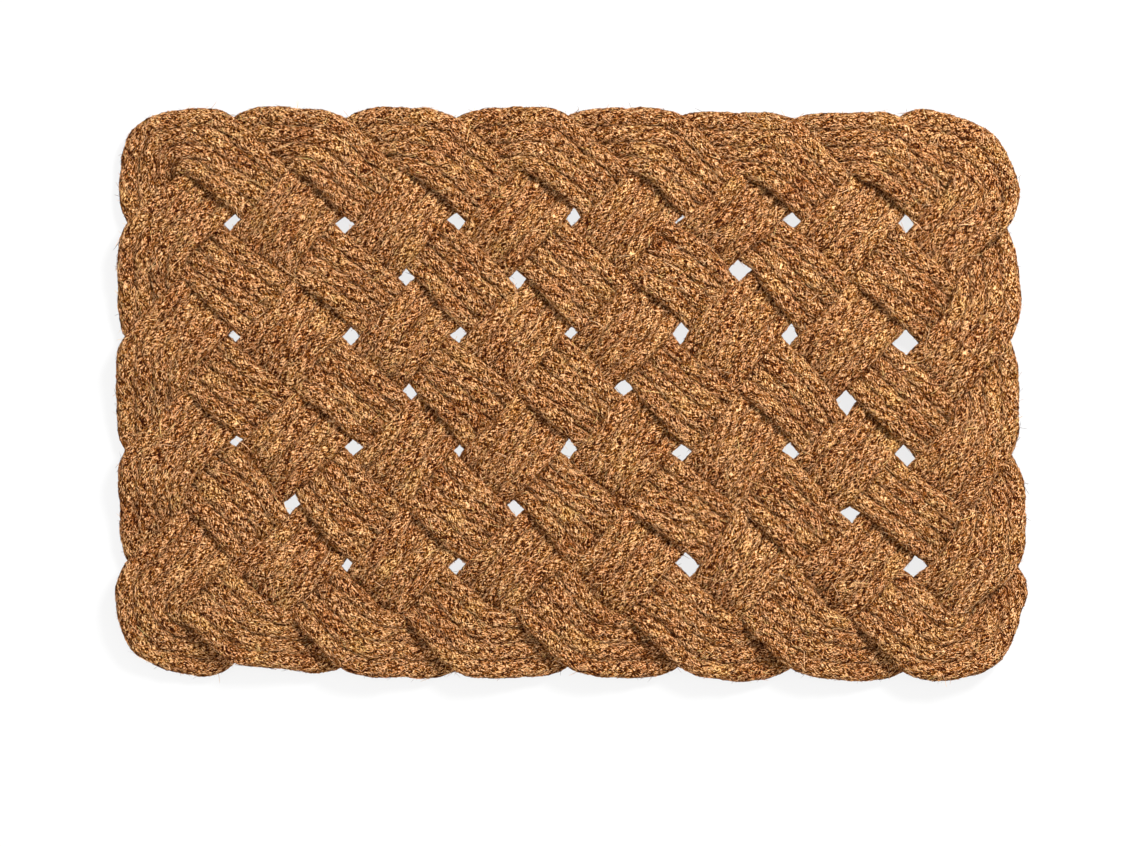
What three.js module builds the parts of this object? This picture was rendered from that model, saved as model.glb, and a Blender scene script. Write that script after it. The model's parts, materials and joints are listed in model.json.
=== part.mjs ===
// A flat rectangular rope mat, woven as a sailor's mat. Ropes lie side by side as a band, and the
// band follows one closed lead that runs diagonally across the mat, turns back in a bight at each
// edge, and passes over one, under one at every crossing. Every rope is a whole closed lead of its
// own. Its two ends butt together where another band covers them, inside a twine seizing.
// Millimetres, +X along the mat, +Y across it, +Z up, origin at the centre of the underside.

import * as THREE from 'three';

// Driving dimensions

const ropeWidth = 15.5; // a rope as it lies pressed in the mat
const ropeHeight = 13.5;
const ropesInBand = 4;
const sideGap = 0.7; // between ropes that lie side by side
const layerGap = 3; // between an upper and a lower band where they cross
const openingX = 20.4; // what the weave opens at each hole, along the mat
const openingY = 22.6; // and across it
const bightsAcross = 8; // bights along a long edge, the two corners included
const bightsDown = 5; // bights along a short edge, the two corners included
const bightGap = 3.8; // between a bight's inner rope and the crossing inside it
const loopGap = 0.6; // the same at a corner loop
const seizingLength = 26;
const seizingWall = 1.2; // the thickness of its twine
const seizingFit = 0.3; // between the twine and the neck of the rope
const endGap = 0.6; // between the two ends of a rope
const neckTaper = 3; // where a rope swells again beyond its seizing
const levelMargin = 0.5; // a rope stays level this far past the band it crosses

// Shares and counts that shape the turns

const flatShare = 0.5; // of a rope's width that is flat on top and below
const turnHold = 0.25; // of a turn, at each end, before the rope climbs or drops
const edgeHold = 0.35; // of a climb beside an edge, given to the side of the bight
const bightSteps = 4;
const loopSteps = 8;

// Sizes that follow

const lanePitch = ropeWidth + sideGap;
const bandWidth = ropesInBand * lanePitch - sideGap;
const bandHalf = bandWidth / 2;
const outerLane = (bandWidth - ropeWidth) / 2;
const levelReach = outerLane + (ropeWidth * flatShare) / 2 + levelMargin;
const lowCentre = ropeHeight / 2;
const highCentre = ropeHeight * 1.5 + layerGap;
const columns = 2 * bightsAcross;
const rows = 2 * bightsDown;
const stepX = (bandWidth * Math.SQRT2 + openingX) / 2;
const stepY = (bandWidth * Math.SQRT2 + openingY) / 2;
const legLength = Math.hypot(stepX, stepY);
const up = new THREE.Vector3(0, 0, 1);

// The lead, as visits to the points of a grid. Bands cross at the inner points, and the points on
// the border are where the lead would turn back if its bights were sharp.

function traceLead() {
  const start = { column: 1, row: 2, dx: 1, dy: -1 };
  const visits = [];
  let { column, row, dx, dy } = start;
  do {
    const tip = column % columns === 0 || row % rows === 0;
    visits.push({ column, row, dx, dy, tip });
    column += dx;
    row += dy;
    dx = column % columns === 0 ? -dx : dx;
    dy = row % rows === 0 ? -dy : dy;
  } while (column !== start.column || row !== start.row || dx !== start.dx || dy !== start.dy);
  return visits;
}

function placeOf(visit) {
  return new THREE.Vector2(
    (visit.column - bightsAcross) * stepX,
    (visit.row - bightsDown) * stepY,
  );
}

function headingOf(visit) {
  return new THREE.Vector2(visit.dx * stepX, visit.dy * stepY).normalize();
}

function leftOf(heading) {
  return new THREE.Vector2(-heading.y, heading.x);
}

// Bands that rise to the right lie on top in the odd columns, and the others in the even columns.
function heightAt(visit) {
  const risesToRight = visit.dx === visit.dy;
  const isOver = risesToRight === (visit.column % 2 === 1);
  return isOver ? highCentre : lowCentre;
}

function besideEdge(visit) {
  const atSide = visit.column === 1 || visit.column === columns - 1;
  return atSide || visit.row === 1 || visit.row === rows - 1;
}

// A station is the centre of a rope's section, with the direction to the rope's left and how full
// the section is there.

function station(place, height, left, neck = false) {
  return { centre: new THREE.Vector3(place.x, place.y, height), left, neck };
}

// A point on a lane, as far along the leg as the lane meets a line parallel to the crossing band.
function onLeg(visit, distance, lane) {
  const heading = headingOf(visit);
  const left = leftOf(heading);
  const crossing = new THREE.Vector2(heading.x, -heading.y);
  const place = placeOf(visit).addScaledVector(heading, distance);
  return place.addScaledVector(crossing, lane / crossing.dot(left));
}

// How far a rope stays level on each side of a crossing.
function levelRun(visit) {
  const heading = headingOf(visit);
  return levelReach / Math.abs(2 * heading.x * heading.y);
}

function straightLeg(from, to, lane) {
  const left = leftOf(headingOf(from));
  const level = levelRun(from);
  const spare = edgeHold * (legLength - 2 * level);
  const startsAtEdge = besideEdge(from) && !besideEdge(to);
  const endsAtEdge = besideEdge(to) && !besideEdge(from);
  const leave = startsAtEdge ? level + spare : level;
  const arrive = endsAtEdge ? level + spare : level;
  return [
    station(onLeg(from, leave, lane), heightAt(from), left),
    station(onLeg(from, legLength - arrive, lane), heightAt(to), left),
  ];
}

// An arc round a centre, level at both ends and climbing or dropping between them.
function turn(centre, radius, firstLeft, side, sweep, steps, lane, from, to) {
  const stations = [];
  for (let step = 0; step <= steps; step += 1) {
    const share = step / steps;
    const left = firstLeft.clone().rotateAround(new THREE.Vector2(), side * sweep * share);
    const place = centre.clone().addScaledVector(left, lane - side * radius);
    const climb = THREE.MathUtils.clamp((share - turnHold) / (1 - 2 * turnHold), 0, 1);
    const height = THREE.MathUtils.lerp(heightAt(from), heightAt(to), climb);
    stations.push(station(place, height, left));
  }
  return stations;
}

// The bight's radius leaves bightGap between its inner rope and the two bands that cross inside it.
function bight(from, tip, to, lane) {
  const heading = headingOf(from);
  const left = leftOf(heading);
  const sweep = Math.acos(heading.dot(headingOf(to)));
  const side = Math.sign(heading.cross(headingOf(to)));
  const slack = 1 - Math.cos(sweep / 2);
  const bandToTip = legLength * Math.abs(2 * heading.x * heading.y);
  const radius = (bandToTip - bandHalf * (2 - slack) - bightGap) / slack;
  const tangent = radius * Math.tan(sweep / 2);
  const centre = placeOf(tip).addScaledVector(heading, -tangent).addScaledVector(left, side * radius);
  return turn(centre, radius, left, side, sweep, bightSteps, lane, from, to);
}

// A corner loop joins two neighbouring parallel bands. It starts far enough past the band that
// crosses them both for its inner rope to pass by.
function cornerLoop(from, to, lane) {
  const heading = headingOf(from);
  const left = leftOf(heading);
  const chord = placeOf(to).sub(placeOf(from));
  const side = Math.sign(chord.dot(left));
  const radius = Math.abs(chord.dot(left)) / 2;
  const outward = leftOf(chord).multiplyScalar(-side).normalize();
  const lead = 2 * bandHalf + loopGap - radius;
  const centre = placeOf(from).addScaledVector(chord, 0.5);
  centre.addScaledVector(heading, lead / heading.dot(outward));
  return turn(centre, radius, left, side, Math.PI, loopSteps, lane, from, to);
}

// All of one rope's stations, from its first end to its last.
function layRope(visits, lane) {
  const first = visits[0];
  const left = leftOf(headingOf(first));
  const tight = seizingLength / 2 + seizingFit;
  const atEnds = [
    [endGap / 2, true],
    [tight, true],
    [tight + neckTaper, false],
  ];
  const ends = (sign) =>
    atEnds.map(([run, neck]) => station(onLeg(first, sign * run, lane), lowCentre, left, neck));
  const round = [...visits, first];
  const stations = ends(1);
  let index = 0;
  while (index < visits.length) {
    const [from, second, third, fourth] = round.slice(index, index + 4);
    if (!second.tip) {
      stations.push(...straightLeg(from, second, lane));
      index += 1;
    } else if (!third.tip) {
      stations.push(...bight(from, second, third, lane));
      index += 2;
    } else {
      stations.push(...cornerLoop(from, fourth, lane));
      index += 3;
    }
  }
  return [...stations, ...ends(-1).reverse()];
}

// A path that keeps a section upright and sets its stations where the rope bends. The frames carry
// the rope's girth, so the section is drawn in where a seizing binds it.

const neckHeight = 1 - (seizingWall + seizingFit) / (ropeHeight / 2);
const neckWidth = 1 - (seizingWall + seizingFit) / (ropeWidth / 2);

class RopePath extends THREE.Curve {
  constructor(stations) {
    super();
    this.stations = stations;
  }

  getSpacedPoints() {
    return this.stations.map(({ centre }) => centre);
  }

  computeFrenetFrames() {
    const right = ({ left }) => new THREE.Vector3(-left.x, -left.y, 0);
    return {
      tangents: this.stations.map((each) => up.clone().cross(right(each))),
      normals: this.stations.map(({ neck }) => up.clone().multiplyScalar(neck ? neckHeight : 1)),
      binormals: this.stations.map((each) => right(each).multiplyScalar(each.neck ? neckWidth : 1)),
    };
  }
}

// A six-sided section, flat on top and below. Its first axis is upright.
function sectionPoints(width, height) {
  const flat = (width * flatShare) / 2;
  return [
    new THREE.Vector2(height / 2, flat),
    new THREE.Vector2(0, width / 2),
    new THREE.Vector2(-height / 2, flat),
    new THREE.Vector2(-height / 2, -flat),
    new THREE.Vector2(0, -width / 2),
    new THREE.Vector2(height / 2, -flat),
  ];
}

function extrude(shape, stations) {
  return new THREE.ExtrudeGeometry(shape, {
    steps: stations.length - 1,
    extrudePath: new RopePath(stations),
    bevelEnabled: false,
  });
}

// The twine ring is flush with the rope outside, so the mat still lies flat.
function seizingGeometry(visit, lane) {
  const shape = new THREE.Shape(sectionPoints(ropeWidth, ropeHeight));
  const bore = sectionPoints(ropeWidth - 2 * seizingWall, ropeHeight - 2 * seizingWall);
  shape.holes.push(new THREE.Path(bore.reverse()));
  const left = leftOf(headingOf(visit));
  const ends = [-seizingLength / 2, seizingLength / 2];
  return extrude(
    shape,
    ends.map((run) => station(onLeg(visit, run, lane), lowCentre, left)),
  );
}

// Assembly

const ropeColours = [0x9d6a41, 0x986640, 0xa26e44, 0x966339];
const ropeRoughness = 0.95;
const twineColour = 0x7a5230;
const twineRoughness = 0.85;

function addPiece(mat, name, geometry, color, roughness) {
  const mesh = new THREE.Mesh(
    geometry,
    new THREE.MeshStandardMaterial({ color, roughness, metalness: 0 }),
  );
  mesh.name = name;
  mat.add(mesh);
}

const mat = new THREE.Group();
const lead = traceLead();

// The ends of a rope meet where it runs under another band, away from the edges. The joints are
// spread evenly along the lead, one rope's after another's.
const hidden = lead.filter((visit) => {
  return !visit.tip && !besideEdge(visit) && heightAt(visit) === lowCentre;
});

for (let rope = 0; rope < ropesInBand; rope += 1) {
  const lane = rope * lanePitch - outerLane;
  const joint = hidden[Math.floor(((rope + 0.5) * hidden.length) / ropesInBand)];
  const start = lead.indexOf(joint);
  const visits = [...lead.slice(start), ...lead.slice(0, start)];
  const section = new THREE.Shape(sectionPoints(ropeWidth, ropeHeight));
  const number = rope + 1;
  const ropeGeometry = extrude(section, layRope(visits, lane));
  addPiece(mat, `rope_${number}`, ropeGeometry, ropeColours[rope % ropeColours.length], ropeRoughness);
  addPiece(mat, `seizing_${number}`, seizingGeometry(joint, lane), twineColour, twineRoughness);
}

export default mat;
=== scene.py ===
import json
import math
from collections import namedtuple

import bpy
import numpy as np
from bpy.props import FloatProperty, FloatVectorProperty, IntProperty, PointerProperty
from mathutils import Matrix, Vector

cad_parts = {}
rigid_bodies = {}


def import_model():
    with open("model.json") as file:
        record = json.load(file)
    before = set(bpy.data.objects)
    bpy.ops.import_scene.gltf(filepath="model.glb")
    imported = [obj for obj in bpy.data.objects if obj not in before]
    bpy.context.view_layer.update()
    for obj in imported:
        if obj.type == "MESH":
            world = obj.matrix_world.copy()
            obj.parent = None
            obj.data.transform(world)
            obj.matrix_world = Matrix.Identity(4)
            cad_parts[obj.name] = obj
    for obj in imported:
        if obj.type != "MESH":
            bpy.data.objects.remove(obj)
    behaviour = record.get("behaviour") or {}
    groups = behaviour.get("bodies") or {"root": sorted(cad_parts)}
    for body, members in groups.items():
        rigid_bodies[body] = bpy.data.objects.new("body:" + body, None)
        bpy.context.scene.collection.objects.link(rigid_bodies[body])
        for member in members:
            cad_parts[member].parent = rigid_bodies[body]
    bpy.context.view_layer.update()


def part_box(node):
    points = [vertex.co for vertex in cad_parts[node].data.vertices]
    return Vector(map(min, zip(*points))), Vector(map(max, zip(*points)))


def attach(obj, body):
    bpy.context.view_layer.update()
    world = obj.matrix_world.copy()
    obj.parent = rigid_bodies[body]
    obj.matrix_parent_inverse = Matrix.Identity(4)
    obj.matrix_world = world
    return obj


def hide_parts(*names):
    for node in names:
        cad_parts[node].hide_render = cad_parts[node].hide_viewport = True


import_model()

bl_info = {
    "name": "Woven Rope Mat",
    "version": (1, 0, 0),
    "blender": (4, 5, 0),
    "location": "3D View > Sidebar > Rope Mat",
    "description": "Weaves a door mat of coir rope round its packed frame",
    "category": "Add Mesh",
}

BODY = "root"
ROPE_SLOT = "coir_rope"
TWINE_SLOT = "binding_twine"
MILLIMETRE = 0.001

# The weave. The lead runs over a grid of points: bands cross at every second inner point, and the
# points between them are the holes. Lengths are in metres.

COLUMNS, ROWS = 16, 10
ROPES = 4
LANE_PITCH = 0.0162
BAND_HALF = 0.03205
STEP = np.array([0.05553, 0.05663])
LEG = float(np.hypot(*STEP))
MIDDLE_HEIGHT = 0.015
BIGHT_GAP = 0.0038
LOOP_GAP = 0.0006
LEG_SAMPLES = 80
TURN_SAMPLES = 150
LEAD_SAMPLES = 20
SMOOTHING_REACH = 10

# The share of a run that stays level at a crossing, at one beside the mat's edge where the other
# end isn't, and at each end of a turn.
LEVEL_AT_CROSSING = 0.09
LEVEL_AT_EDGE = 0.18
LEVEL_IN_TURN = 0.1

# How far each hole gapes, in rows from the far edge to the near one: 0 is closed, 3 is wide. Then
# how far round a hole the ropes make way in full, how that fades, and how uneven its rim is.
GAPES = ("2222122", "022030", "1221223", "020203", "1212223", "202002", "0120303")
GAPE_SIZES = (0.0, 0.0082, 0.0115, 0.0150)
EVEN_GAPE = GAPE_SIZES[2]
HOLE_RADIUS = 0.0156
HOLE_SPREAD = 0.026
HOLE_UNEVENNESS = 0.0016

# Where hand weaving has pulled the mat out of true: the place as column and row, the pull to the
# right and away, and how far round it reaches, in millimetres.
PULLS = (
    (4.5, 5.0, 9, 2, 130), (2.3, 3.7, 4, 10, 70), (10.8, 6.8, 0, 11, 70), (14.2, 5.0, 0, -9, 90),
    (7.6, 7.6, 4, 4, 80), (10.2, 2.0, 8, 0, 50), (14.0, 2.0, 9, -3, 60), (0.6, 9.4, 5, -6, 62),
    (15.5, 9.5, -13, -9, 66), (12.0, 10.0, 0, -5, 90), (0.5, 0.5, 5, 9, 66), (3.0, 0.0, 0, 9, 70),
    (8.5, 0.0, 0, 4, 150), (15.5, 0.5, -4, 6, 60), (16.0, 2.9, 5, 0, 70), (0.0, 5.2, -4, 0, 60),
    (9.0, 5.0, 0, 6, 45), (13.0, 5.0, -5, -1, 45), (16.0, 1.9, 8, 0, 34), (2.0, 0.0, 0, 5, 40),
)

# The scalloped edge: how wide a belt it takes in, how far valleys move out and peaks move in.
EDGE_BELT = 0.034
VALLEY_FILL = 0.008
PEAK_TRIM = 0.003
BIGHT_CLOSING = -0.0028

# Long waves in the plan: the axis that sways, how far, radians on each metre of x and of y, and
# where they begin.
PLAN_WAVES = (
    (0, 0.0010, 0, 63, 1.3), (0, 0.0012, -17, 41, 0.0),
    (1, 0.0010, 59, 0, 0.4), (1, 0.0012, 47, 13, 0.0),
)

# How far each rope rides up and down on its own way, out of step with its neighbours.
HEIGHT_WAVE = 0.0007

# How much wider a rope is than the room it has, and the run in which it draws in to its seizing.
PRESS = 1.13
NECK_TAPER = 0.006

# A rope's section: lower powers give fuller yarns and a squarer rope. The yarns are lumpy at two
# scales, each given as lumps on a metre, detail and the share of the rope's size that it takes.
YARN_POWER = 0.75
SECTION_POWER = 0.82
LUMPS = ((260.0, 1.0, 0.16), (45.0, 0.0, 0.34))

# The winding: spacing of its turns in twines, how much of a twine's radius stands clear of the
# rope, points on a turn, sides of the twine, and how often its strands twist in a turn.
TURN_SPACING = 1.04
TWINE_CLEAR = 0.9
TURN_POINTS = 14
TWINE_SIDES = 8
TWINE_TWIST = 4.0

# Where fibres grow: how far off the surface they look out, how far up and sideways, the share that
# grows where only the side is open, and the share where neither is.
GROWTH_CLEARANCE = 0.0005
REACH_ABOVE, REACH_ASIDE = 0.05, 0.3
SIDE_SHARE, HIDDEN_SHARE = 0.8, 0.06

# Bake maps: strips of a rope, the margin beside each strip, at the map's edges, and how large a
# fibre's own patch is.
MAP_STRIPS = 16
STRIP_MARGIN = 0.04
MAP_MARGIN = 0.02
FIBRE_PATCH = 0.004

# The colour of coir shifts in patches, from reddish through even to yellowish.
STAINS = ((0.0, (1.0, 0.76, 0.66)), (0.5, (1.0, 1.0, 1.0)), (1.0, (0.92, 1.0, 0.6)))
PATCH_SCALE = 28.0

# Painted shade: coir is drawn darkest round this height, where the ropes that cross leave crevices.
PAINTED_SHADE_HEIGHT = 0.0055

# Streaks of single fibres in the yarns' surface, and how far they stray from straight.
STRAND_WIDTH, STRAND_LENGTH = 0.8 * MILLIMETRE, 3.8 * MILLIMETRE
HAIR_FINENESS, HAIR_SHORTNESS = 1.7, 1.3
DRIFT_SCALE = 150.0
DRIFT = 0.0035

# How strongly strands, hairs and patches lighten and darken the coir, and how strongly painted shade
# darkens it in the grooves and crevices.
STRAND_CONTRAST, HAIR_CONTRAST, PATCH_CONTRAST = 2.3, 1.8, 0.3
MEAN_TONE = 0.43
GROOVE_PAINTED_SHADE, CREVICE_PAINTED_SHADE = 0.18, 0.22

# Strands of the twine on a metre, across it twice and along it.
TWINE_STRANDS = (1200.0, 1200.0, 300.0)

# The stage. Each light has its place, size across and power.
FLOOR_HALF = 4
FLOOR_DIMMING, FLOOR_GLOW = 0.14, 0.86
SKY_STRENGTH = 0.95
LIGHTS = {
    "key_light": ((1.5, 1.9, 2.2), 1.0, 175.0),
    "fill_light": ((-2.0, -1.6, 2.6), 2.4, 26.0),
}
CAMERA_PLACE = (-0.0035, -0.029, 2.655)
CAMERA_LENS, CAMERA_SENSOR = 85, 36

Visit = namedtuple("Visit", "column row dx dy tip")


def settings():
    return bpy.context.scene.rope_mat


# The route of the ropes


def trace_lead():
    """The visits of the closed lead to the points of the grid, with its step on from each."""
    column, row, dx, dy = start = (1, 2, 1, -1)
    visits = []
    while not visits or (column, row, dx, dy) != start:
        tip = column % COLUMNS == 0 or row % ROWS == 0
        visits.append(Visit(column, row, dx, dy, tip))
        column, row = column + dx, row + dy
        dx = -dx if column % COLUMNS == 0 else dx
        dy = -dy if row % ROWS == 0 else dy
    return visits


def grid_place(column, row):
    return (np.array([column, row]) - (COLUMNS / 2, ROWS / 2)) * STEP


def place_of(visit):
    return grid_place(visit.column, visit.row)


def heading_of(visit):
    return np.array([visit.dx, visit.dy]) * STEP / LEG


def left_of(heading):
    return np.array([-heading[1], heading[0]])


def is_over(visit):
    """Bands that rise to the right lie on top in the odd columns, the others in the even ones."""
    return (visit.dx == visit.dy) == (visit.column % 2 == 1)


def beside_edge(column, row):
    return column in (1, COLUMNS - 1) or row in (1, ROWS - 1)


def ease(share):
    """A step from 0 to 1 that starts and ends gently."""
    share = np.clip(share, 0.0, 1.0)
    return share**3 * (share * (share * 6 - 15) + 10)


def lanes():
    """How far each rope lies to the left of the middle of its band."""
    return (np.arange(ROPES) - (ROPES - 1) / 2) * LANE_PITCH


def straight_leg(start, end):
    """Points of every lane from one crossing to the next, with the left vectors and the rise."""
    heading = heading_of(start)
    left = left_of(heading)
    crossing = np.array([heading[0], -heading[1]])
    share = np.arange(LEG_SAMPLES) / LEG_SAMPLES
    across = crossing * (lanes() / (crossing @ left))[:, None]
    points = place_of(start) + across[None] + (heading * LEG * share[:, None])[:, None]
    from_edge, to_edge = beside_edge(*start[:2]), beside_edge(*end[:2])
    first = LEVEL_AT_EDGE if from_edge and not to_edge else LEVEL_AT_CROSSING
    last = LEVEL_AT_EDGE if to_edge and not from_edge else LEVEL_AT_CROSSING
    rise = ease((share - first) / (1 - first - last))
    return points, np.repeat(left[None], LEG_SAMPLES, 0), rise


def turn(start, centre, radius, left, side, sweep, end):
    """An arc round a centre, led up to and away from by straight runs to the two crossings."""
    angle = side * sweep * (np.arange(TURN_SAMPLES) + 0.5) / TURN_SAMPLES
    cos, sin = np.cos(angle), np.sin(angle)
    lefts = np.stack([left[0] * cos - left[1] * sin, left[0] * sin + left[1] * cos], -1)
    arc = centre + lefts[:, None] * (lanes() - side * radius)[None, :, None]
    first = place_of(start) + left * lanes()[:, None]
    last = place_of(end) + left_of(heading_of(end)) * lanes()[:, None]
    lead = (np.arange(LEAD_SAMPLES) / LEAD_SAMPLES)[:, None, None]
    points = np.concatenate([first + (arc[0] - first) * lead, arc, arc[-1] + (last - arc[-1]) * lead])
    lefts = np.concatenate([
        np.repeat(lefts[:1], LEAD_SAMPLES, 0), lefts, np.repeat(lefts[-1:], LEAD_SAMPLES, 0),
    ])
    share = np.clip((np.arange(len(points)) - LEAD_SAMPLES) / TURN_SAMPLES, 0, 1)
    return points, lefts, ease((share - LEVEL_IN_TURN) / (1 - 2 * LEVEL_IN_TURN))


def bight(start, tip, end):
    """A turn at the edge, between two crossings and round its tip."""
    heading, turned = heading_of(start), heading_of(end)
    left = left_of(heading)
    sweep = math.acos(heading @ turned)
    side = np.sign(heading[0] * turned[1] - heading[1] * turned[0])
    slack = 1 - math.cos(sweep / 2)
    band_to_tip = LEG * abs(2 * heading[0] * heading[1])
    radius = (band_to_tip - BAND_HALF * (2 - slack) - BIGHT_GAP) / slack
    centre = place_of(tip) - heading * radius * math.tan(sweep / 2) + left * side * radius
    return turn(start, centre, radius, left, side, sweep, end)


def corner_loop(start, end):
    """A half turn round a corner, back to a run beside the first."""
    heading = heading_of(start)
    left = left_of(heading)
    chord = place_of(end) - place_of(start)
    side = np.sign(chord @ left)
    radius = abs(chord @ left) / 2
    outward = -side * left_of(chord) / np.linalg.norm(chord)
    lead = 2 * BAND_HALF + LOOP_GAP - radius
    centre = place_of(start) + chord / 2 + heading * lead / (heading @ outward)
    return turn(start, centre, radius, left, side, math.pi, end)


def hole_centres():
    """The holes' places and how far each one's edge has to move from where the weave puts it."""
    places, moves = [], []
    for index, gapes in enumerate(GAPES):
        row = ROWS - 2 - index
        for number, gape in enumerate(gapes):
            column = 2 + row % 2 + 2 * number
            places.append(grid_place(column, row))
            moves.append((GAPE_SIZES[int(gape)] - EVEN_GAPE) * math.sqrt(0.5))
    for column in range(1, COLUMNS, 2):
        for row in range(1, ROWS, 2):
            if beside_edge(column, row):
                places.append(grid_place(column, row))
                moves.append(BIGHT_CLOSING)
    return np.array(places), np.array(moves)


def hand_laid(points):
    """Moves points of the plan as a hand weaves: round the holes, at the edge, in waves, by pulls."""
    moved = points.copy()
    for index, (centre, move) in enumerate(zip(*hole_centres())):
        away = points - centre
        distance = np.linalg.norm(away, axis=-1, keepdims=True)
        pull = np.exp(-((np.maximum(distance - HOLE_RADIUS, 0) / HOLE_SPREAD) ** 2))
        angle = np.arctan2(away[..., 1:], away[..., :1])
        uneven = HOLE_UNEVENNESS * (np.sin(angle + 2.4 * index) + np.sin(2 * angle + 1.7 * index))
        moved += away / np.maximum(distance, HOLE_RADIUS) * (move + uneven) * pull
    grid = points / STEP + (COLUMNS / 2, ROWS / 2)
    for axis in (0, 1):
        inner = ((COLUMNS, ROWS)[axis] / 2 - 1) * STEP[axis]
        beyond = ease((np.abs(points[..., axis]) - inner) / EDGE_BELT)
        valley = 0.5 + 0.5 * np.cos(math.pi * grid[..., 1 - axis])
        outward = valley * VALLEY_FILL - PEAK_TRIM
        moved[..., axis] += np.sign(points[..., axis]) * beyond * outward
    for axis, sway, by_x, by_y, begin in PLAN_WAVES:
        phase = points[..., 0] * by_x + points[..., 1] * by_y + begin
        moved[..., axis] += sway * np.sin(phase)
    for column, row, right, away, reach in PULLS:
        distance = np.linalg.norm(points - grid_place(column, row), axis=-1, keepdims=True)
        pull = np.exp(-((distance / (reach * MILLIMETRE)) ** 2))
        moved += np.array([right, away]) * MILLIMETRE * pull
    return moved


def band_route():
    """Every lane of the whole closed lead: points in space and left vectors, one row a station."""
    visits = trace_lead()
    around = visits + visits[:3]
    plans, lefts, heights = [], [], []
    index = 0
    amplitude = MIDDLE_HEIGHT - settings().rope.height / 2
    while index < len(visits):
        start, second, third, fourth = around[index : index + 4]
        if not second.tip:
            end, made, used = second, straight_leg(start, second), 1
        elif not third.tip:
            end, made, used = third, bight(start, second, third), 2
        else:
            end, made, used = fourth, corner_loop(start, fourth), 3
        plan, left, rise = made
        low, high = (amplitude if is_over(each) else -amplitude for each in (start, end))
        plans.append(plan)
        lefts.append(left)
        heights.append(MIDDLE_HEIGHT + low + (high - low) * rise)
        index += used
    plan = hand_laid(np.concatenate(plans))
    height = np.repeat(np.concatenate(heights)[:, None, None], ROPES, 1)
    leg = np.arange(len(height))[:, None] / LEG_SAMPLES
    height[..., 0] += HEIGHT_WAVE * np.sin(leg * 2.3 + 2.1 * np.arange(ROPES)) * np.sin(leg * 5.1)
    route = np.concatenate([plan, height], -1)
    return smoothed(route), smoothed(np.concatenate(lefts))


def smoothed(values):
    """A running mean round a closed list, twice over."""
    reach = SMOOTHING_REACH
    for _ in range(2):
        total = sum(np.roll(values, shift, 0) for shift in range(-reach, reach + 1))
        values = total / (2 * reach + 1)
    return values


def unit(vectors):
    return vectors / np.linalg.norm(vectors, axis=-1, keepdims=True)


def rope_stations(rope, route, lefts):
    """Even stations along one rope, from its first end to its last, both inside its seizing."""
    sizes = settings().rope
    lo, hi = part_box(f"seizing_{rope + 1}")
    joint = np.array((lo + hi) / 2)
    start = int(np.argmin(np.linalg.norm(route[:, rope] - joint, axis=-1)))
    route, lefts = np.roll(route, -start, 0), np.roll(lefts, -start, 0)
    route = np.concatenate([route, route[:1]])
    lefts = np.concatenate([lefts, lefts[:1]])
    lane = route[:, rope]
    gaps = np.linalg.norm(np.diff(route[..., :2], axis=1), axis=-1) / 2
    edge = np.full(len(route), sizes.width / 2)
    right_half = gaps[:, rope - 1] if rope else edge
    left_half = gaps[:, rope] if rope < ROPES - 1 else edge
    steps = np.linalg.norm(np.diff(lane, axis=0), axis=-1)
    reach = np.concatenate([[0], np.cumsum(steps)])
    count = int(round(reach[-1] / sizes.spacing))
    along = np.linspace(sizes.end_gap / 2, reach[-1] - sizes.end_gap / 2, count)

    def at(values):
        return np.interp(along, reach, values)

    centre = np.stack([at(lane[:, axis]) for axis in range(3)], -1)
    side = unit(np.stack([at(lefts[:, 0]), at(lefts[:, 1]), np.zeros(count)], -1))
    travel = unit(np.gradient(centre, axis=0))
    side = unit(side - travel * np.sum(side * travel, -1, keepdims=True))
    bound = neck_share(along, reach[-1])
    return {
        "centre": centre, "side": side, "rise": np.cross(travel, side), "travel": travel,
        "left_half": at(left_half) * PRESS * bound, "right_half": at(right_half) * PRESS * bound,
        "half_height": sizes.height / 2 * bound, "along": along,
    }


def neck_share(along, length):
    """How full a rope is: drawn in where its seizing binds it."""
    twine = settings().twine
    run = np.minimum(along, length - along)
    tight = twine.length / 2
    neck = 1 - 2 * twine.thickness / settings().rope.height
    return neck + (1 - neck) * ease((run - tight) / NECK_TAPER)


# Node graphs


class Signal:
    """A socket that takes part in Python expressions, each of which adds its nodes."""

    def __init__(self, graph, socket):
        self.graph, self.socket = graph, socket

    def maths(self, operation, *values):
        inputs = dict(enumerate(values))
        return self.graph.node("ShaderNodeMath", {"operation": operation}, inputs)

    def __add__(self, other):
        return self.maths("ADD", self, other)

    def __radd__(self, other):
        return self.maths("ADD", other, self)

    def __sub__(self, other):
        return self.maths("SUBTRACT", self, other)

    def __rsub__(self, other):
        return self.maths("SUBTRACT", other, self)

    def __mul__(self, other):
        return self.maths("MULTIPLY", self, other)

    def __rmul__(self, other):
        return self.maths("MULTIPLY", other, self)

    def __truediv__(self, other):
        return self.maths("DIVIDE", self, other)

    def __rtruediv__(self, other):
        return self.maths("DIVIDE", other, self)

    def __pow__(self, other):
        return self.maths("POWER", self, other)

    def __rpow__(self, other):
        return self.maths("POWER", other, self)

    def of(self, operation, *others):
        """An operation that has no sign of its own, such as a sine."""
        return self.maths(operation, self, *others)

    def clamped(self):
        return self.of("MAXIMUM", 0.0).of("MINIMUM", 1.0)


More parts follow.
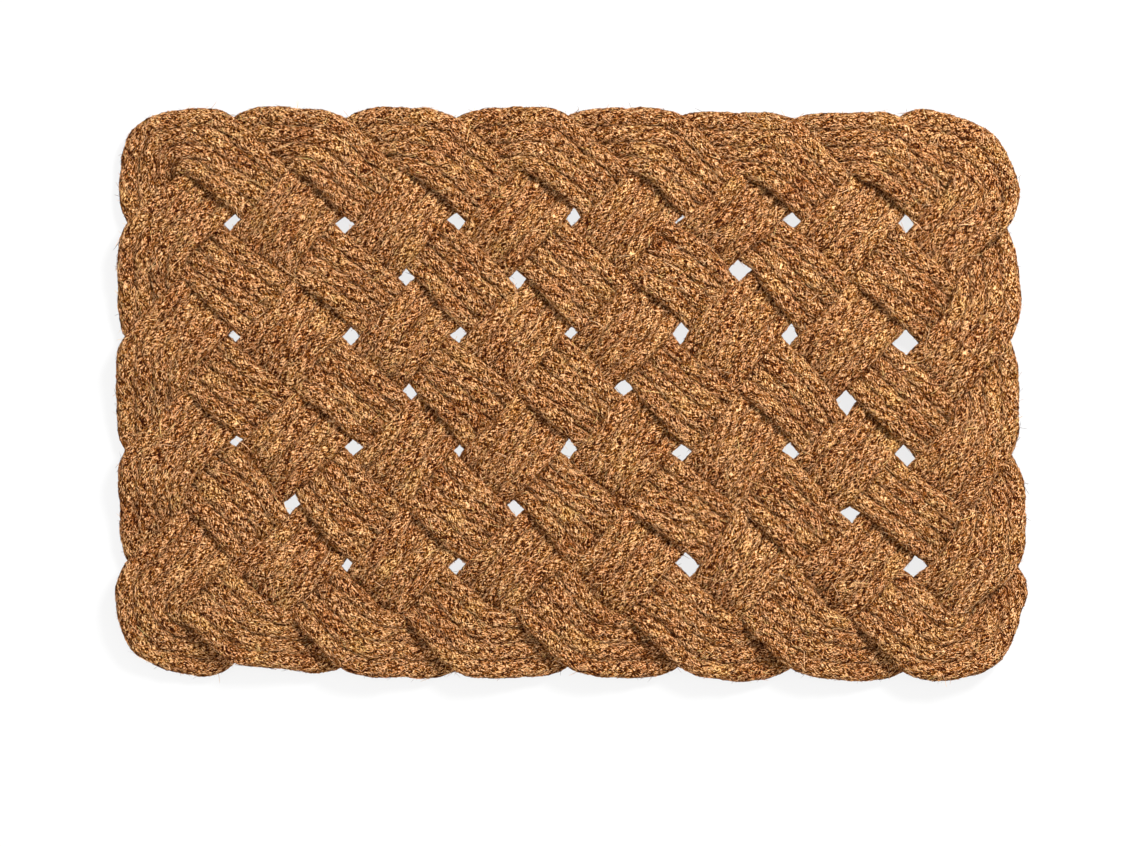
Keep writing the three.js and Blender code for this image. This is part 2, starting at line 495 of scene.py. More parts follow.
class Graph:
    """A node tree under construction."""

    def __init__(self, tree):
        self.tree = tree

    def node(self, kind, options=None, inputs=None, out=0):
        """Adds a node: its own options first, then a value or a link for each input."""
        node = self.tree.nodes.new(kind)
        for name, value in (options or {}).items():
            if name == "stops":
                self.set_stops(node, value)
            else:
                setattr(node, name, value)
        for key, value in (inputs or {}).items():
            if isinstance(value, Signal):
                self.tree.links.new(value.socket, node.inputs[key])
            else:
                node.inputs[key].default_value = value
        if isinstance(out, tuple):
            return tuple(Signal(self, node.outputs[each]) for each in out)
        return Signal(self, node.outputs[out]) if len(node.outputs) else None

    def set_stops(self, node, stops):
        elements = node.color_ramp.elements
        while len(elements) < len(stops):
            elements.new(0.5)
        for element, (position, colour) in zip(elements, stops):
            element.position = position
            element.color = (*colour, 1.0)

    def vectors(self, operation, *values):
        inputs = {}
        for index, value in enumerate(values):
            inputs[3 if operation == "SCALE" and index == 1 else index] = value
        return self.node("ShaderNodeVectorMath", {"operation": operation}, inputs)

    def combine(self, x, y, z):
        return self.node("ShaderNodeCombineXYZ", None, {0: x, 1: y, 2: z})

    def height_of(self, place):
        return self.node("ShaderNodeSeparateXYZ", None, {0: place}, 2)

    def crevice_shade_mask(self, height):
        """A mask for painted shade: 1 at the height of the crevices between crossing ropes, and 0 on
        the floor and above.
        """
        return (1.0 - (height / PAINTED_SHADE_HEIGHT - 1.0).of("ABSOLUTE")).of("MAXIMUM", 0.0)

    def noise(self, vector, scale, detail, out=0):
        inputs = {"Vector": vector, "Scale": scale, "Detail": detail}
        return self.node("ShaderNodeTexNoise", None, inputs, out)


class Shader(Graph):
    """The nodes of one material."""

    def __init__(self, name):
        self.material = bpy.data.materials.new(name)
        self.material.use_nodes = True
        super().__init__(self.material.node_tree)
        self.tree.nodes.clear()

    def attribute(self, name, out="Fac"):
        return self.node("ShaderNodeAttribute", {"attribute_name": name}, None, out)

    def multiply(self, first, second):
        """One colour times another."""
        options = {"data_type": "RGBA", "blend_type": "MULTIPLY"}
        return self.node("ShaderNodeMix", options, {0: 1.0, 6: first, 7: second}, 2)

    def ramp(self, factor, stops):
        return self.node("ShaderNodeValToRGB", {"stops": stops}, {0: factor})

    def finish(self, colour, roughness, height=None, bump=1.0, distance=0.001, **constants):
        inputs = {"Base Color": colour, "Roughness": roughness}
        if height is not None:
            values = {"Strength": bump, "Distance": distance, "Height": height}
            inputs["Normal"] = self.node("ShaderNodeBump", None, values)
        inputs.update({name.replace("_", " "): value for name, value in constants.items()})
        surface = self.node("ShaderNodeBsdfPrincipled", None, inputs)
        self.node("ShaderNodeOutputMaterial", None, {0: surface})
        return self.material


class GeometryTree(Graph):
    """A geometry node tree with named inputs."""

    def __init__(self, name, sockets):
        super().__init__(bpy.data.node_groups.new(name, "GeometryNodeTree"))
        new = self.tree.interface.new_socket
        self.ids = {}
        for label, kind in sockets.items():
            socket = new(label, in_out="INPUT", socket_type="NodeSocket" + kind)
            self.ids[label] = socket.identifier
        new("Geometry", in_out="OUTPUT", socket_type="NodeSocketGeometry")
        group = self.tree.nodes.new("NodeGroupInput")
        self.given = {label: Signal(self, group.outputs[label]) for label in sockets}

    def named(self, name, kind="FLOAT"):
        return self.node("GeometryNodeInputNamedAttribute", {"data_type": kind}, {0: name})

    def store(self, geometry, name, value, kind="FLOAT"):
        options = {"data_type": kind, "domain": "POINT"}
        inputs = {0: geometry, 2: name, 3: value}
        return self.node("GeometryNodeStoreNamedAttribute", options, inputs)

    def random(self, low, high, seed):
        inputs = {2: low, 3: high, 8: seed}
        return self.node("FunctionNodeRandomValue", {"data_type": "FLOAT"}, inputs, 1)

    def tube(self, line, sides, radius):
        """A closed tube along a line, whose points know which spoke of the ring they are on."""
        ring = self.node("GeometryNodeCurvePrimitiveCircle", None, {0: sides, 4: radius})
        ring = self.store(ring, "spoke", self.node("GeometryNodeInputIndex"))
        curve = self.node("GeometryNodeMeshToCurve", None, {0: line})
        return self.node("GeometryNodeCurveToMesh", None, {0: curve, 1: ring, 3: True})

    def beside_centre(self, x, z):
        """The place x to the left of a rope's middle and z above it."""
        side, rise, centre = (
            self.named(name, "FLOAT_VECTOR") for name in ("side", "rise", "centre")
        )
        offset = self.vectors("ADD", self.vectors("SCALE", side, x), self.vectors("SCALE", rise, z))
        return self.vectors("ADD", centre, offset)

    def close(self, geometry, material):
        smooth = self.node("GeometryNodeSetShadeSmooth", None, {0: geometry})
        real = self.node("GeometryNodeRealizeInstances", None, {0: smooth})
        done = self.node("GeometryNodeSetMaterial", None, {0: real, 2: material})
        self.node("NodeGroupOutput", None, {0: done})
        return self

    def grow(self, name, mesh, values):
        """Runs the tree on a mesh and returns an object that holds the plain result."""
        piece = bpy.data.objects.new(name, mesh)
        bpy.context.scene.collection.objects.link(piece)
        modifier = piece.modifiers.new(name, "NODES")
        modifier.node_group = self.tree
        for label, value in values.items():
            modifier[self.ids[label]] = value
        graph = bpy.context.evaluated_depsgraph_get()
        made = bpy.data.meshes.new_from_object(
            piece.evaluated_get(graph), preserve_all_data_layers=True, depsgraph=graph
        )
        piece.modifiers.clear()
        piece.data = made
        made.name = name
        bpy.data.meshes.remove(mesh)
        return piece


def line_mesh(name, stations):
    """A line of edges through the stations, which carries their values as attributes."""
    count = len(stations["along"])
    mesh = bpy.data.meshes.new(name)
    edges = [(index, index + 1) for index in range(count - 1)]
    mesh.from_pydata(stations["centre"].tolist(), edges, [])
    for label, values in stations.items():
        flat = values.ndim == 1
        layer = mesh.attributes.new(label, "FLOAT" if flat else "FLOAT_VECTOR", "POINT")
        layer.data.foreach_set("value" if flat else "vector", values.astype(np.float32).ravel())
    return mesh


def turn_outwards(piece):
    """Flips a closed mesh whose faces point inwards."""
    mesh = piece.data
    mesh.calc_loop_triangles()
    corners = np.zeros(len(mesh.vertices) * 3)
    mesh.vertices.foreach_get("co", corners)
    faces = np.zeros(len(mesh.loop_triangles) * 3, int)
    mesh.loop_triangles.foreach_get("vertices", faces)
    a, b, c = corners.reshape(-1, 3)[faces.reshape(-1, 3)].transpose(1, 0, 2)
    if np.sum(a * np.cross(b, c)) < 0:
        mesh.flip_normals()


def read_layer(mesh, name):
    """A mesh attribute's value at each of its points."""
    values = np.zeros(len(mesh.vertices), np.float32)
    mesh.attributes[name].data.foreach_get("value", values)
    return values


def keep_layers(mesh, names):
    """Removes the attributes that no material reads."""
    for name in [each.name for each in mesh.attributes]:
        if name not in names and not name.startswith((".", "position", "sharp", "material")):
            mesh.attributes.remove(mesh.attributes[name])


def finish_piece(piece, slot, *nodes):
    """Joins a piece to the frame, in place of the solids that it stands for."""
    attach(piece, BODY)
    if nodes:
        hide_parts(*nodes)


# Settings


class RopeSettings(bpy.types.PropertyGroup):
    width: FloatProperty(
        name="Width", description="Width of a rope as it lies", default=0.0164, unit="LENGTH"
    )
    height: FloatProperty(
        name="Height", description="Height of a rope as it lies", default=0.0142, unit="LENGTH"
    )
    lay: FloatProperty(
        name="Lay", description="Length in which the yarns turn once", default=0.125, unit="LENGTH"
    )
    groove: FloatProperty(
        name="Groove", description="Depth between yarns as a share of the rope", default=0.12,
        subtype="FACTOR",
    )
    spacing: FloatProperty(
        name="Spacing", description="Distance between sections", default=0.005, unit="LENGTH"
    )
    end_gap: FloatProperty(
        name="End Gap", description="Gap between a rope's ends", default=0.0006, unit="LENGTH"
    )
    yarns: IntProperty(name="Yarns", description="Yarns laid up in a rope", default=6)
    points: IntProperty(name="Points", description="Points round each yarn", default=5)


class FibreSettings(bpy.types.PropertyGroup):
    density: FloatProperty(
        name="Density", description="Short fibres on each square metre", default=125000
    )
    length: FloatProperty(
        name="Length", description="Longest short fibre", default=0.0068, unit="LENGTH"
    )
    thickness: FloatProperty(
        name="Thickness", description="Thickest fibre", default=0.00096, unit="LENGTH"
    )
    slant: FloatProperty(
        name="Slant", description="Turn of the fibres from the rope's line",
        default=math.radians(16), unit="ROTATION",
    )
    stray_density: FloatProperty(
        name="Stray Density", description="Stray fibres on each square metre", default=11000
    )
    stray_length: FloatProperty(
        name="Stray Length", description="Longest stray fibre", default=0.022, unit="LENGTH"
    )
    seed: IntProperty(name="Seed", description="Changes where the fibres lie", default=7)


class TwineSettings(bpy.types.PropertyGroup):
    length: FloatProperty(
        name="Length", description="Length of a seizing", default=0.026, unit="LENGTH"
    )
    thickness: FloatProperty(
        name="Thickness", description="Thickness of the twine", default=0.0012, unit="LENGTH"
    )


class ColourSettings(bpy.types.PropertyGroup):
    # The darkest coir tone: dark fibres, and painted shade between fibres, in grooves and in crevices.
    shade: FloatVectorProperty(
        name="Shade", description="Coir deep between fibres", default=(0.036, 0.0055, 0.0004),
        subtype="COLOR", size=3, min=0, max=1,
    )
    coir: FloatVectorProperty(
        name="Coir", description="Coir over most of a rope", default=(0.40, 0.138, 0.023),
        subtype="COLOR", size=3, min=0, max=1,
    )
    straw: FloatVectorProperty(
        name="Straw", description="The palest fibres", default=(0.98, 0.64, 0.36),
        subtype="COLOR", size=3, min=0, max=1,
    )
    floor: FloatVectorProperty(
        name="Floor", description="The floor", default=(0.93, 0.93, 0.93),
        subtype="COLOR", size=3, min=0, max=1,
    )


class MatSettings(bpy.types.PropertyGroup):
    rope: PointerProperty(type=RopeSettings, name="Rope", description="Sizes of the ropes")
    fibre: PointerProperty(type=FibreSettings, name="Fibre", description="Loose fibres")
    twine: PointerProperty(type=TwineSettings, name="Twine", description="Seizing twine")
    colour: PointerProperty(type=ColourSettings, name="Colours", description="Colours")


# Materials


def scaled(colour, share):
    return tuple(min(1.0, part * share) for part in colour)


def blended(first, second, share):
    return tuple(a + (b - a) * share for a, b in zip(first, second))


def coir_material():
    """Coir yarn: pale and dark fibres side by side, with painted shade down in the grooves between
    yarns and in the crevices where ropes cross.
    """
    colour = settings().colour
    shader = Shader("coir_rope")
    yarn = shader.attribute("yarn", "Vector")
    groove = shader.attribute("groove")
    drift = shader.vectors("SUBTRACT", shader.noise(yarn, DRIFT_SCALE, 1.0, "Color"), (0.5, 0.5, 0.5))
    drift = shader.vectors("SCALE", drift, DRIFT)
    fibre = shader.vectors("ADD", shader.attribute("fibre", "Vector"), drift)
    yarn = shader.vectors("ADD", yarn, drift)
    across, along = 1 / STRAND_WIDTH, 1 / STRAND_LENGTH
    strands = shader.vectors("MULTIPLY", fibre, (across, across, along))
    across, along = across * HAIR_FINENESS, along * HAIR_SHORTNESS
    hairs = shader.vectors("MULTIPLY", yarn, (across, across, along))
    strand = shader.noise(strands, 1.0, 1.0)
    hair = shader.noise(hairs, 1.0, 1.0)
    patch = shader.noise(yarn, PATCH_SCALE, 2.0)
    place = shader.node("ShaderNodeTexCoord", None, None, "Object")
    low = shader.crevice_shade_mask(shader.height_of(place))
    light = (strand - 0.5) * STRAND_CONTRAST + (hair - 0.5) * HAIR_CONTRAST
    light = light + (patch - 0.5) * PATCH_CONTRAST + MEAN_TONE
    # Painted shade: darker down in the grooves between yarns and in the crevices where ropes cross.
    light = light - groove * GROOVE_PAINTED_SHADE - low * CREVICE_PAINTED_SHADE
    tones = [
        (0.28, scaled(colour.shade, 0.6)),
        (0.46, blended(colour.shade, colour.coir, 0.4)),
        (0.60, tuple(colour.coir)),
        (0.80, blended(colour.coir, colour.straw, 0.7)),
    ]
    rough = 0.78 + (1.0 - strand) * 0.2
    hue = (patch - 0.5) * 1.1 + 0.5
    stained = shader.multiply(shader.ramp(light, tones), shader.ramp(hue, STAINS))
    height = strand * 0.7 + hair * 0.5
    return shader.finish(stained, rough, height, bump=0.9, distance=0.0012, Specular_IOR_Level=0.05)


def fibre_material():
    """Single coir fibres, each of one tone between dark brown and straw."""
    colour = settings().colour
    shader = Shader("coir_fibre")
    tone = shader.attribute("tone")
    hue = shader.attribute("hue")
    tones = [
        (0.0, tuple(colour.shade)),
        (0.3, scaled(colour.coir, 0.4)),
        (0.6, tuple(colour.coir)),
        (0.86, blended(colour.coir, colour.straw, 0.6)),
        (1.0, tuple(colour.straw)),
    ]
    stained = shader.multiply(shader.ramp(tone, tones), shader.ramp(hue, STAINS))
    return shader.finish(stained, 0.6 + tone * 0.1, Specular_IOR_Level=0.06)


def twine_material():
    """Twine: tight slanting strands."""
    colour = settings().colour
    shader = Shader("binding_twine")
    fibre = shader.attribute("fibre", "Vector")
    strands = shader.vectors("MULTIPLY", fibre, TWINE_STRANDS)
    strand = shader.noise(strands, 1.0, 2.0)
    tones = [
        (0.35, blended(colour.shade, colour.coir, 0.2)),
        (0.65, scaled(blended(colour.coir, colour.straw, 0.3), 0.8)),
    ]
    return shader.finish(
        shader.ramp(strand, tones), 0.8 + strand * 0.1, strand, bump=0.6, distance=0.0003
    )


def floor_material():
    """A pale floor that glows a little, so that it stays even and still takes a soft shadow."""
    shader = Shader("pale_floor")
    colour = settings().colour.floor
    dimmed = (*scaled(colour, FLOOR_DIMMING), 1.0)
    return shader.finish(
        dimmed, 0.95, Emission_Color=(*colour, 1.0), Emission_Strength=FLOOR_GLOW,
        Specular_IOR_Level=0.1,
    )


# Trees


def laid_rope_tree(material):
    """Sweeps a section of pressed yarns along a line; the points turn with the lay."""
    tree = GeometryTree("laid_rope", {
        "Geometry": "Geometry", "Yarns": "Int", "Points": "Int", "Lay": "Float",
        "Groove": "Float", "Slant": "Float", "Unevenness": "Float",
    })
    given = tree.given
    count = given["Yarns"] * given["Points"]
    tube = tree.tube(given["Geometry"], count, 1.0)
    spoke, along = tree.named("spoke"), tree.named("along")
    height = tree.named("half_height")
    start = spoke / count * math.tau
    angle = start - along / given["Lay"] * math.tau
    arch = ((spoke / given["Points"]).of("FRACT") * math.pi).of("SINE").of("ABSOLUTE")
    groove = 1.0 - arch**YARN_POWER
    yarn = tree.combine(start.of("COSINE") * height, start.of("SINE") * height, along)
    small, large = (
        (tree.noise(yarn, scale, detail) - 0.5) * share for scale, detail, share in LUMPS
    )
    full = 1.0 - groove * given["Groove"] + (small + large) * given["Unevenness"]
    cos, sin = angle.of("COSINE"), angle.of("SINE")
    is_left = cos.of("GREATER_THAN", 0.0)
    width = tree.named("left_half") * is_left + tree.named("right_half") * (1.0 - is_left)
    x, z = (
        wave.of("SIGN") * wave.of("ABSOLUTE") ** SECTION_POWER * full for wave in (cos, sin)
    )
    turned = angle - along * given["Slant"].of("TANGENT") / height
    fibre = tree.combine(turned.of("COSINE") * height, turned.of("SINE") * height, along)
    shaped = tree.store(tube, "yarn", yarn, "FLOAT_VECTOR")
    shaped = tree.store(shaped, "fibre", fibre, "FLOAT_VECTOR")
    shaped = tree.store(shaped, "groove", groove)
    # How far round to a rope's side a point lies, which the fibres' painted shade reads where ropes
    # press together.
    shaped = tree.store(shaped, "flank", cos.of("ABSOLUTE"))
    place = tree.beside_centre(x * width, z * height)
    shaped = tree.node("GeometryNodeSetPosition", None, {0: shaped, 2: place})
    return tree.close(shaped, material)


def winding_tree(material):
    """Winds twine round a rope, one turn against the next."""
    tree = GeometryTree("winding", {"Geometry": "Geometry", "Pitch": "Float", "Thickness": "Float"})
    given = tree.given
    radius = given["Thickness"] * 0.5
    half_height = tree.named("half_height")
    angle = tree.named("along") / given["Pitch"] * math.tau
    x = angle.of("COSINE") * (tree.named("left_half") + radius * TWINE_CLEAR)
    z = angle.of("SINE") * (half_height + radius * TWINE_CLEAR)
    place = tree.beside_centre(x, z)
    wound = tree.node("GeometryNodeSetPosition", None, {0: given["Geometry"], 2: place})
    tube = tree.tube(wound, TWINE_SIDES, radius)
    turned = tree.named("spoke") / TWINE_SIDES * math.tau + angle * TWINE_TWIST
    fibre = tree.combine(
        turned.of("COSINE") * radius, turned.of("SINE") * radius, angle * half_height
    )
    return tree.close(tree.store(tube, "fibre", fibre, "FLOAT_VECTOR"), material)


def open_share(tree, ropes, position):
    """The share of fibres that grow at a place: few where other ropes cover it."""
    normal = tree.node("GeometryNodeInputNormal")
    clear = tree.vectors("ADD", position, tree.vectors("SCALE", normal, GROWTH_CLEARANCE))
    flat = tree.vectors("MULTIPLY", normal, (1.0, 1.0, 0.15))
    ropes = tree.node("GeometryNodeRealizeInstances", None, {
        0: tree.node("GeometryNodeCollectionInfo", None, {0: ropes}),
    })

    def is_open(direction, length):
        inputs = {0: ropes, "Source Position": clear, "Ray Direction": direction, "Ray Length": length}
        return 1.0 - tree.node("GeometryNodeRaycast", None, inputs)

    above = is_open((0.0, 0.0, 1.0), REACH_ABOVE)
    aside = is_open(flat, REACH_ASIDE)
    return above.of("MAXIMUM", aside * SIDE_SHARE).of("MAXIMUM", HIDDEN_SHARE)


def fibre_line(tree, facing):
    """The direction of a fibre: along its rope, turned by the slant and lifted off the surface."""
    given, seed = tree.given, tree.given["Seed"]
    travel = tree.named("travel", "FLOAT_VECTOR")
    side = tree.vectors("CROSS_PRODUCT", travel, facing)
    along = tree.vectors("NORMALIZE", tree.vectors("CROSS_PRODUCT", facing, side))
    across = tree.vectors("CROSS_PRODUCT", facing, along)
    wide = (tree.random(-1.0, 1.0, seed + 1) + tree.random(-1.0, 1.0, seed + 2)) * 0.5
    angle = given["Slant"] + wide * given["Spread"]
    lift = tree.random(-0.25, 1.0, seed + 3) * given["Lift"]
    along = tree.vectors("SCALE", along, angle.of("COSINE"))
    across = tree.vectors("SCALE", across, angle.of("SINE"))
    line = tree.vectors("ADD", along, across)
    line = tree.vectors("ADD", line, tree.vectors("SCALE", facing, lift))
    return tree.vectors("NORMALIZE", line)


def fibre_tone(tree, position):
    """How pale a fibre is: most are dark or pale, and painted shade darkens them in grooves, on flanks
    and in crevices.
    """
    drawn = tree.random(0.0, 1.0, tree.given["Seed"] + 6)
    for _ in range(2):
        drawn = drawn * drawn * (3.0 - drawn * 2.0)
    # Painted shade in grooves, on flanks pressed against neighbouring ropes and in crevices, plus an
    # even darkening of every fibre.
    flank = (tree.named("flank") - 0.75).of("MAXIMUM", 0.0)
    low = tree.crevice_shade_mask(tree.height_of(position))
    painted_shade = tree.named("groove") * 0.2 + flank * 0.8 + low * 0.3 + 0.09
    return (drawn + tree.given["Paleness"] - painted_shade).clamped()


def fibre_shape(tree, rings, position):
    """One fibre on end: a spindle of some rings, or a three-sided spike where there are none."""
    if rings:
        shape = tree.node("GeometryNodeMeshUVSphere", None, {0: 3, 1: rings, 2: 0.5})
    else:
        sizes = {0: 3, 1: 1, 3: 0.0, 4: 0.5, 5: 1.0}
        shape = tree.node("GeometryNodeMeshCone", {"fill_type": "NGON"}, sizes)
        shape = tree.node("GeometryNodeSetPosition", None, {0: shape, 3: (0.0, 0.0, -0.5)})
    return tree.store(shape, "run", tree.height_of(position) + 0.5)


def bent(tree, fibres):
    """Curls the fibres' ends and bows their middles, each its own way."""
    run = tree.named("run")
    bend = run * run * tree.given["Curl"] + run * (1.0 - run) * 4.0 * tree.given["Bow"]
    bend = bend * tree.named("reach")
    away = tree.vectors("SCALE", tree.named("away", "FLOAT_VECTOR"), bend * tree.named("dip"))
    aside = tree.vectors("SCALE", tree.named("aside", "FLOAT_VECTOR"), bend * tree.named("bow"))
    inputs = {0: fibres, 3: tree.vectors("ADD", away, aside)}
    return tree.node("GeometryNodeSetPosition", None, inputs)


def fibre_tree(material, rings):
    """Scatters fibres over the open parts of a rope, along its line and slanting a little."""
    tree = GeometryTree("fibres", {
        "Geometry": "Geometry", "Rope": "Object", "Ropes": "Collection", "Density": "Float",
        "Length": "Float", "Thickness": "Float", "Slant": "Float", "Spread": "Float",
        "Lift": "Float", "Curl": "Float", "Bow": "Float", "Paleness": "Float", "Seed": "Int",
    })
    given, seed = tree.given, tree.given["Seed"]
    position = tree.node("GeometryNodeInputPosition")
    rope = tree.node("GeometryNodeObjectInfo", None, {0: given["Rope"]}, "Geometry")
    density = given["Density"] * open_share(tree, given["Ropes"], position)
    points, facing = tree.node(
        "GeometryNodeDistributePointsOnFaces", {"distribute_method": "RANDOM"},
        {0: rope, 4: density, 6: seed}, (0, 1),
    )
    line = fibre_line(tree, facing)
    length = given["Length"] * tree.random(0.45, 1.0, seed + 4)
    thick = given["Thickness"] * tree.random(0.45, 1.0, seed + 5)
    tone = fibre_tone(tree, position)
    hue = (tree.noise(position, PATCH_SCALE, 2.0) - 0.5) * 0.9 + 0.5
    hue = (hue + tree.random(-0.4, 0.4, seed + 9)).clamped()
    points = tree.store(points, "hue", hue)
    points = tree.store(points, "tone", tone)
    raised = tree.vectors("SCALE", facing, tone * given["Thickness"] * 0.35)
    points = tree.node("GeometryNodeSetPosition", None, {0: points, 3: raised})
    points = tree.store(points, "away", facing, "FLOAT_VECTOR")
    points = tree.store(points, "aside", tree.vectors("CROSS_PRODUCT", facing, line), "FLOAT_VECTOR")
    points = tree.store(points, "reach", length)
    points = tree.store(points, "bow", tree.random(-1.0, 1.0, seed + 7))
    points = tree.store(points, "dip", tree.random(-1.0, 0.35, seed + 8))
    turned = tree.node("FunctionNodeAlignRotationToVector", {"axis": "Z"}, {2: line})
    grown = tree.node("GeometryNodeInstanceOnPoints", None, {
        0: points, 2: fibre_shape(tree, rings, position), 5: turned,
        6: tree.combine(thick, thick, length),
    })
    grown = tree.node("GeometryNodeRealizeInstances", None, {0: grown})
    return tree.close(bent(tree, grown), material)


# Pieces


def loop_vertices(mesh):
    """The point that each corner of each face is on."""
    corners = np.zeros(len(mesh.loops), int)
    mesh.loops.foreach_get("vertex_index", corners)
    return corners


def add_map(mesh, u, v):
    layer = mesh.uv_layers.new(name="OFBake")
    layer.data.foreach_set("uv", np.stack([u, v], -1).astype(np.float32).ravel())


def rope_map(piece):
    """A UV map of side by side strips, each one a length of the rope unrolled."""
    mesh = piece.data
    corners = loop_vertices(mesh)
    spokes, runs = read_layer(mesh, "spoke")[corners], read_layer(mesh, "along")[corners]
    count = settings().rope.yarns * settings().rope.points
    sizes = np.zeros(len(mesh.polygons), int)
    mesh.polygons.foreach_get("loop_total", sizes)
    starts = np.concatenate([[0], np.cumsum(sizes)[:-1]])
    mean_spoke = np.repeat(np.add.reduceat(spokes, starts) / sizes, sizes)
    mean_run = np.repeat(np.add.reduceat(runs, starts) / sizes, sizes)
    spokes = np.where(spokes - mean_spoke < -2, spokes + count, spokes)
    strip_length = (runs.max() + MILLIMETRE) / MAP_STRIPS
    strip = np.floor(mean_run / strip_length)
    u = (strip + STRIP_MARGIN + (1 - 2 * STRIP_MARGIN) * spokes / count) / MAP_STRIPS
    v = MAP_MARGIN + (1 - 2 * MAP_MARGIN) * (runs / strip_length - strip)
    add_map(mesh, u, v)


def fibre_map(piece):
    """A UV map that puts each fibre at its tone and its hue."""
    mesh = piece.data
    corners = loop_vertices(mesh)
    tone, hue = read_layer(mesh, "tone")[corners], read_layer(mesh, "hue")[corners]
    index = np.arange(len(corners))
    u = MAP_MARGIN + (1 - 2 * MAP_MARGIN) * tone + (index % 3 - 1) * FIBRE_PATCH
    v = MAP_MARGIN + (1 - 2 * MAP_MARGIN) * hue + index // 3 % 2 * FIBRE_PATCH
    add_map(mesh, u, v)


class ROPEMAT_OT_stage(bpy.types.Operator):
    """Lays the floor and sets the lights and the camera"""

    bl_idname = "rope_mat.stage"
    bl_label = "Stage"

    def execute(self, context):
        scene = context.scene
        mesh = bpy.data.meshes.new("floor")
        corners = [(x * FLOOR_HALF, y * FLOOR_HALF, 0) for x, y in ((-1, -1), (1, -1), (1, 1), (-1, 1))]
        mesh.from_pydata(corners, [], [(0, 1, 2, 3)])
        mesh.materials.append(floor_material())
        floor = bpy.data.objects.new("floor", mesh)
        scene.collection.objects.link(floor)
        for name, (place, size, power) in LIGHTS.items():
            self.light(scene, name, place, size, power)
        world = bpy.data.worlds.new("studio")
        world.use_nodes = True
        sky = world.node_tree.nodes["Background"].inputs
        sky["Color"].default_value = (1, 1, 1, 1)
        sky["Strength"].default_value = SKY_STRENGTH
        scene.world = world
        scene.view_settings.view_transform = "Standard"
        lens = bpy.data.cameras.new("camera")
        lens.lens, lens.sensor_width = CAMERA_LENS, CAMERA_SENSOR
        camera = bpy.data.objects.new("camera", lens)
        camera.location = CAMERA_PLACE
        scene.collection.objects.link(camera)
        scene.camera = camera
        return {"FINISHED"}

    def light(self, scene, name, place, size, power):
        """A round light that faces the middle of the mat."""
        lamp = bpy.data.lights.new(name, "AREA")
        lamp.shape, lamp.size, lamp.energy = "DISK", size, power
        light = bpy.data.objects.new(name, lamp)
        light.location = place
        light.rotation_mode = "QUATERNION"
        light.rotation_quaternion = (-light.location).to_track_quat("-Z", "Y")
        scene.collection.objects.link(light)


class ROPEMAT_OT_ropes(bpy.types.Operator):
    """Lays the four ropes along their whole route"""

    bl_idname = "rope_mat.ropes"
    bl_label = "Ropes"

    def execute(self, context):
        sizes = settings().rope
        route, lefts = band_route()
        tree = laid_rope_tree(coir_material())
        values = {
            "Yarns": sizes.yarns, "Points": sizes.points, "Lay": sizes.lay,
            "Groove": sizes.groove, "Slant": settings().fibre.slant, "Unevenness": 1.0,
        }
        shelf = bpy.data.collections.new("laid_ropes")
        context.scene.collection.children.link(shelf)
        for rope in range(ROPES):
            name = f"laid_rope_{rope + 1}"
            mesh = line_mesh(name, rope_stations(rope, route, lefts))
            piece = tree.grow(name, mesh, values)
            turn_outwards(piece)
            press_to_floor(piece)
            rope_map(piece)
            shelf.objects.link(piece)
            finish_piece(piece, ROPE_SLOT, f"rope_{rope + 1}")
        return {"FINISHED"}


def press_to_floor(piece):
    """Presses what would go below the floor flat against it."""
    mesh = piece.data
    points = np.zeros(len(mesh.vertices) * 3, np.float32)
    mesh.vertices.foreach_get("co", points)
    points = points.reshape(-1, 3)
    points[:, 2] = np.maximum(points[:, 2], 0)
    mesh.vertices.foreach_set("co", points.ravel())
    mesh.update()


class ROPEMAT_OT_fibres(bpy.types.Operator):
    """Scatters the short fibres and the strays over the ropes"""

    bl_idname = "rope_mat.fibres"
    bl_label = "Fibres"

    def execute(self, context):
        fibre = settings().fibre
        material = fibre_material()
        short = {
            "Density": fibre.density, "Length": fibre.length, "Thickness": fibre.thickness,
            "Slant": fibre.slant, "Spread": math.radians(72), "Lift": 0.12, "Curl": 0.0,
            "Bow": 0.0, "Paleness": 0.0,
        }
        kinds = {
            "spikes": (0, short),
            "curls": (2, {
                **short, "Density": fibre.density * 0.66, "Length": fibre.length * 1.25,
                "Spread": math.radians(95), "Bow": 0.26,
            }),
            "strays": (4, {
                "Density": fibre.stray_density, "Length": fibre.stray_length,
                "Thickness": fibre.thickness * 0.6, "Slant": 0.0,
                "Spread": math.radians(130), "Lift": 0.26, "Curl": 0.5, "Bow": 0.0,
                "Paleness": 0.2,
            }),
        }
        shelf = bpy.data.collections["laid_ropes"]
        for kind, (rings, values) in kinds.items():
            tree = fibre_tree(material, rings)
            for rope in range(ROPES):
                name = f"laid_rope_{rope + 1}_{kind}"
                source = {
                    "Rope": bpy.data.objects[f"laid_rope_{rope + 1}"], "Ropes": shelf,
                    "Seed": fibre.seed + 100 * rope + 10 * rings,
                }
                piece = tree.grow(name, bpy.data.meshes.new(name), {**source, **values})
                press_to_floor(piece)
                fibre_map(piece)
                keep_layers(piece.data, ("tone", "hue", "OFBake"))
                finish_piece(piece, ROPE_SLOT)
        for rope in range(ROPES):
            piece = bpy.data.objects[f"laid_rope_{rope + 1}"]
            keep_layers(piece.data, ("fibre", "yarn", "groove", "OFBake"))
        return {"FINISHED"}


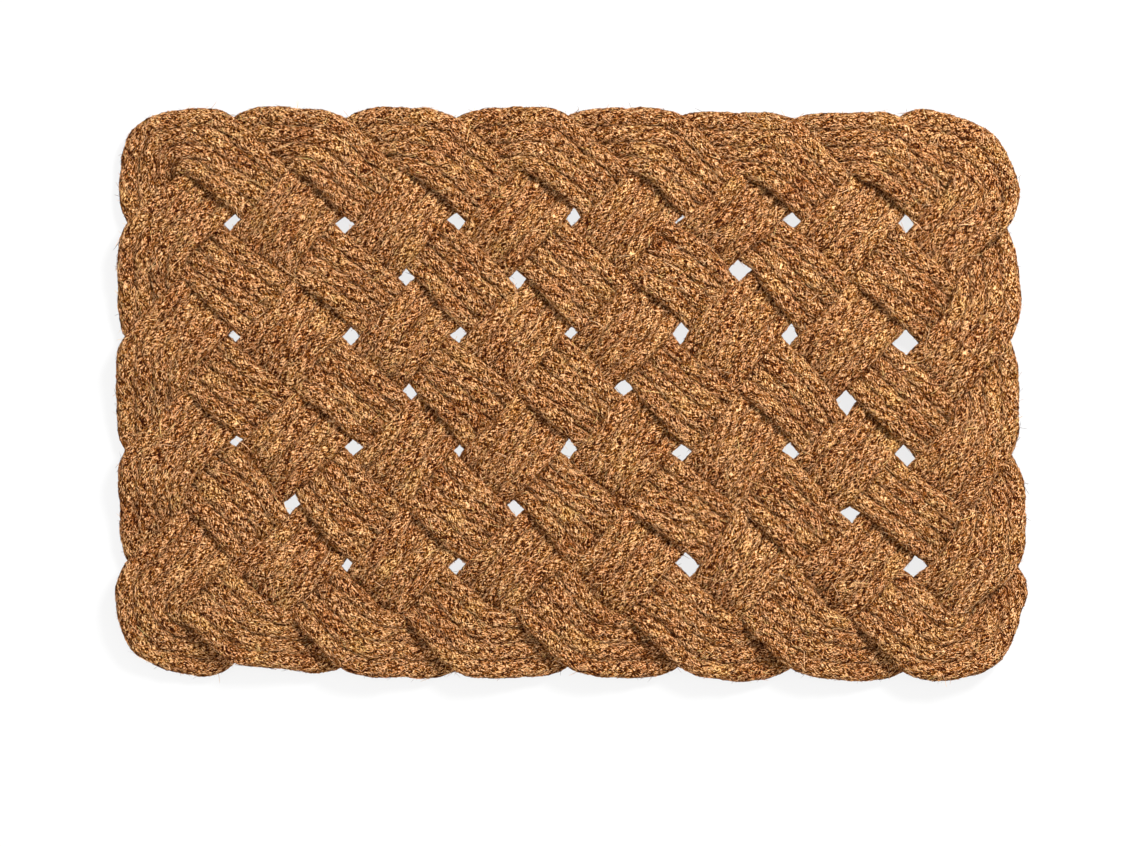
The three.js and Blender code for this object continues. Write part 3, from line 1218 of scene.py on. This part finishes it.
class ROPEMAT_OT_seizings(bpy.types.Operator):
    """Winds the twine round each rope's butted ends"""

    bl_idname = "rope_mat.seizings"
    bl_label = "Seizings"

    def execute(self, context):
        twine = settings().twine
        route, lefts = band_route()
        tree = winding_tree(twine_material())
        for rope in range(ROPES):
            stations = winding_stations(rope_stations(rope, route, lefts))
            name = f"twine_{rope + 1}"
            values = {"Pitch": twine.thickness * TURN_SPACING, "Thickness": twine.thickness}
            piece = tree.grow(name, line_mesh(name, stations), values)
            turn_outwards(piece)
            press_to_floor(piece)
            keep_layers(piece.data, ("fibre",))
            finish_piece(piece, TWINE_SLOT, f"seizing_{rope + 1}")
        return {"FINISHED"}


def winding_stations(rope):
    """Close stations along the two bound ends of a rope, for the twine to go round."""
    twine = settings().twine
    turns = int(twine.length / (twine.thickness * TURN_SPACING))
    reach = np.concatenate([rope["along"] - rope["along"][-1], rope["along"]])
    along = np.linspace(-twine.length / 2, twine.length / 2, turns * TURN_POINTS)
    made = {}
    for label, values in rope.items():
        both = np.concatenate([values, values]).reshape(len(reach), -1)
        parts = [np.interp(along, reach, part) for part in both.T]
        made[label] = parts[0] if values.ndim == 1 else np.stack(parts, -1)
    made["along"] = along + twine.length / 2
    return made


class ROPEMAT_PT_panel(bpy.types.Panel):
    """Lists the steps and the sizes and colours that they take"""

    bl_idname = "ROPEMAT_PT_panel"
    bl_label = "Rope Mat"
    bl_space_type = "VIEW_3D"
    bl_region_type = "UI"
    bl_category = "Rope Mat"

    def draw(self, context):
        for operator in OPERATORS:
            self.layout.operator(operator.bl_idname)
        for label in ("rope", "fibre", "twine", "colour"):
            group = getattr(context.scene.rope_mat, label)
            box = self.layout.box()
            for name in group.__annotations__:
                box.prop(group, name)


OPERATORS = (ROPEMAT_OT_stage, ROPEMAT_OT_ropes, ROPEMAT_OT_fibres, ROPEMAT_OT_seizings)
CLASSES = (
    RopeSettings, FibreSettings, TwineSettings, ColourSettings, MatSettings,
    *OPERATORS, ROPEMAT_PT_panel,
)


def register():
    for each in CLASSES:
        bpy.utils.register_class(each)
    bpy.types.Scene.rope_mat = PointerProperty(type=MatSettings)


def unregister():
    del bpy.types.Scene.rope_mat
    for each in reversed(CLASSES):
        bpy.utils.unregister_class(each)


def main():
    register()
    for operator in OPERATORS:
        group, name = operator.bl_idname.split(".")
        getattr(getattr(bpy.ops, group), name)()


if __name__ == "__main__":
    main()
